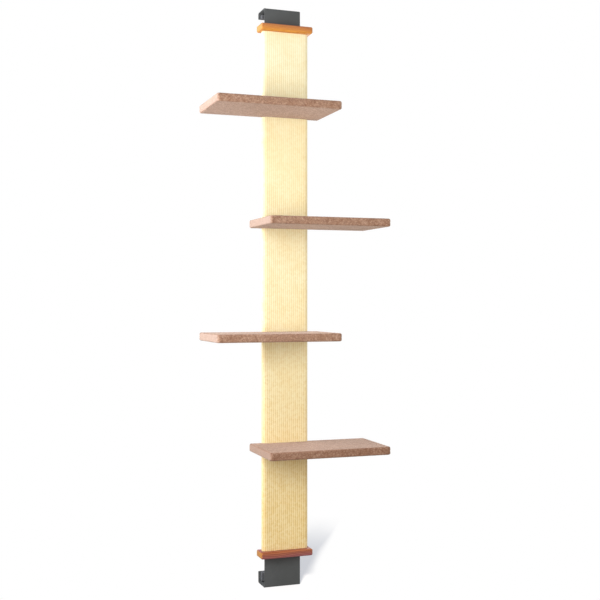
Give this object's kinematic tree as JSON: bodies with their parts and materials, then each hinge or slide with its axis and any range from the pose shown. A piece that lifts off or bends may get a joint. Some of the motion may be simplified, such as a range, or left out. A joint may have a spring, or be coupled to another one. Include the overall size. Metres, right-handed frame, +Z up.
{
  "type": "over-door cat climber",
  "caption": "Tall sisal-covered scratching panel with carpeted shelves on alternate sides, wooden end bars and steel hooks over and under a door; the lower hook slides.",
  "frame": {"origin": "middle of the door's top edge, on the underside of the top hook's plate", "axes": "+X to the right as seen from the room, +Y from the room through the door, +Z up"},
  "size_m": [0.6104, 0.331, 2.037],
  "materials": {
    "stained_wood": "orange-brown stain, satin varnish",
    "bare_wood": "planed pine, unfinished",
    "plywood": "birch plywood, unfinished",
    "sisal": "natural woven sisal",
    "carpet": "short taupe-brown pile",
    "painted_steel": "dark grey powder coat",
    "zinc_steel": "zinc plated",
    "foam": "closed-cell foam"
  },
  "bodies": {
    "climber": {"barrel_nut_1_left": "zinc_steel", "barrel_nut_1_right": "zinc_steel", "barrel_nut_2_left": "zinc_steel", "barrel_nut_2_right": "zinc_steel", "barrel_nut_3_left": "zinc_steel", "barrel_nut_3_right": "zinc_steel", "barrel_nut_4_left": "zinc_steel", "barrel_nut_4_right": "zinc_steel", "board_1": "plywood", "board_2": "plywood", "board_3": "plywood", "board_4": "plywood", "board_5": "plywood", "bottom_bar": "stained_wood", "bottom_bracket_bolt_left": "zinc_steel", "bottom_bracket_bolt_right": "zinc_steel", "bottom_bracket_nut_left": "zinc_steel", "bottom_bracket_nut_right": "zinc_steel", "bottom_cleat": "bare_wood", "door_pad_1": "foam", "door_pad_2": "foam", "door_pad_3": "foam", "door_pad_4": "foam", "shelf_bolt_1_left": "zinc_steel", "shelf_bolt_1_right": "zinc_steel", "shelf_bolt_2_left": "zinc_steel", "shelf_bolt_2_right": "zinc_steel", "shelf_bolt_3_left": "zinc_steel", "shelf_bolt_3_right": "zinc_steel", "shelf_bolt_4_left": "zinc_steel", "shelf_bolt_4_right": "zinc_steel", "shelf_carpet_1": "carpet", "shelf_carpet_2": "carpet", "shelf_carpet_3": "carpet", "shelf_carpet_4": "carpet", "shelf_cleat_1": "bare_wood", "shelf_cleat_2": "bare_wood", "shelf_cleat_3": "bare_wood", "shelf_cleat_4": "bare_wood", "shelf_core_1": "plywood", "shelf_core_2": "plywood", "shelf_core_3": "plywood", "shelf_core_4": "plywood", "sisal_cover_1": "sisal", "sisal_cover_2": "sisal", "sisal_cover_3": "sisal", "sisal_cover_4": "sisal", "sisal_cover_5": "sisal", "top_bar": "stained_wood", "top_bracket": "painted_steel", "top_bracket_bolt_left": "zinc_steel", "top_bracket_bolt_right": "zinc_steel", "top_bracket_nut_left": "zinc_steel", "top_bracket_nut_right": "zinc_steel", "top_cleat": "bare_wood", "top_front_pad": "foam", "top_rear_pad": "foam"},
    "lower_hook": {"bottom_bracket": "painted_steel", "bottom_front_pad": "foam", "bottom_rear_pad": "foam"}
  },
  "joints": [
    {"name": "lower_hook_slide", "type": "slide", "parent": "climber", "child": "lower_hook", "axis": [0, 0, -1], "range_m": [0, 0.06]}
  ]
}
